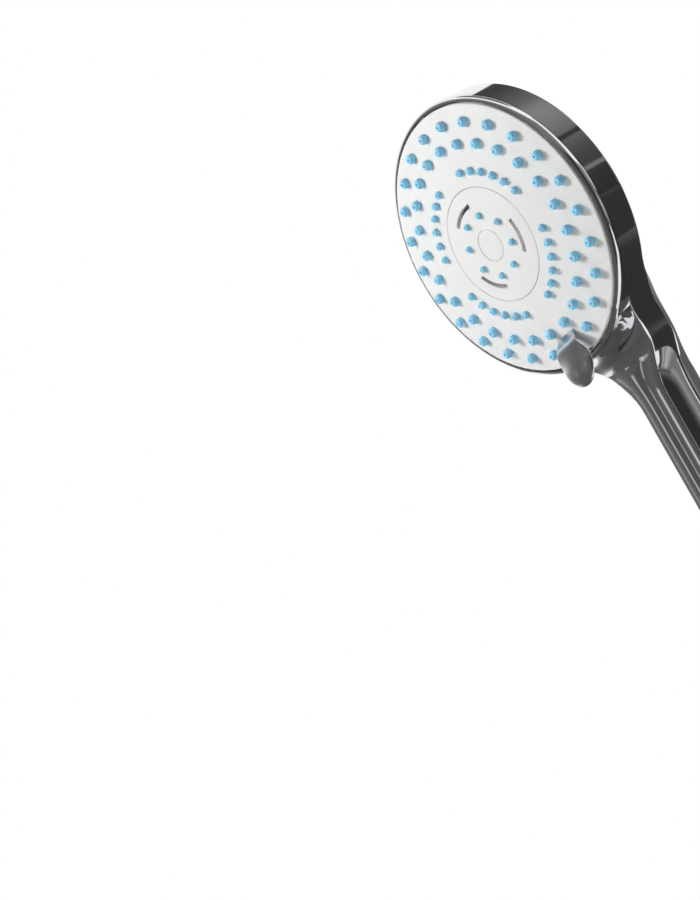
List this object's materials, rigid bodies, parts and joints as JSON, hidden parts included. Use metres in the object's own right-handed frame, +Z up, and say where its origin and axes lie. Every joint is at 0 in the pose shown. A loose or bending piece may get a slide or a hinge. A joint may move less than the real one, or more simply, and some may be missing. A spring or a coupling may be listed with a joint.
{
  "type": "handheld shower head",
  "caption": "Hand shower: round chrome head and handle; a thumb lever turns the nozzle face to pick the spray, with a standard hose thread at the foot.",
  "frame": {"origin": "centre of the hose thread's end face, on the handle's axis", "axes": "+Z up the handle's axis to the head; -Y out of the front, where the spray leaves; +X to the right of someone who looks along -Y"},
  "size_m": [0.108, 0.055, 0.2399],
  "materials": {
    "chrome_abs": "bright chrome plate on ABS",
    "plated_brass": "chrome plated brass",
    "pale_abs": "satin pale grey",
    "blue_silicone": "light blue silicone",
    "white_pom": "moulded white",
    "black_rubber": "matt black",
    "steel": "stainless steel"
  },
  "bodies": {
    "handset": {"rear_shell": "chrome_abs", "front_cover": "chrome_abs", "handle_collar": "chrome_abs", "hose_connector": "plated_brass", "water_tube": "white_pom", "tube_top_o_ring": "black_rubber", "tube_base_o_ring": "black_rubber", "flow_regulator": "white_pom", "filter_screen": "steel", "valve_seat": "white_pom", "valve_seat_screws": "steel", "hub_o_ring": "black_rubber", "port_seal": "black_rubber", "port_seal_spring": "steel", "detent_spring": "steel", "pivot_washer": "steel", "pivot_screw": "steel"},
    "spray_head": {"faceplate": "pale_abs", "selector_lever": "chrome_abs", "rain_nozzles": "blue_silicone", "mist_nozzles": "blue_silicone", "centre_nozzles": "blue_silicone", "centre_insert": "pale_abs", "centre_cap": "pale_abs", "spray_plate": "white_pom", "jet_plate": "pale_abs", "chamber_gasket": "black_rubber", "port_disc": "white_pom", "port_disc_screws": "steel"},
    "turbine": {"turbine": "white_pom"},
    "detent_plunger": {"detent_plunger": "steel"}
  },
  "joints": [
    {"name": "selector_turn", "type": "hinge", "parent": "handset", "child": "spray_head", "pos_m": [0, -0.03167, 0.18461], "axis": [0, -0.9898, -0.1426], "range_deg": [-60, 60]},
    {"name": "turbine_spin", "type": "hinge", "parent": "spray_head", "child": "turbine", "pos_m": [0, -0.03167, 0.18461], "axis": [0, -0.9898, -0.1426], "continuous": true},
    {"name": "detent_slide", "type": "slide", "parent": "handset", "child": "detent_plunger", "axis": [0, -0.9898, -0.1426], "range_m": [-0.0008, 0], "stiffness_N_per_m": 400, "springref_m": 0.002}
  ]
}
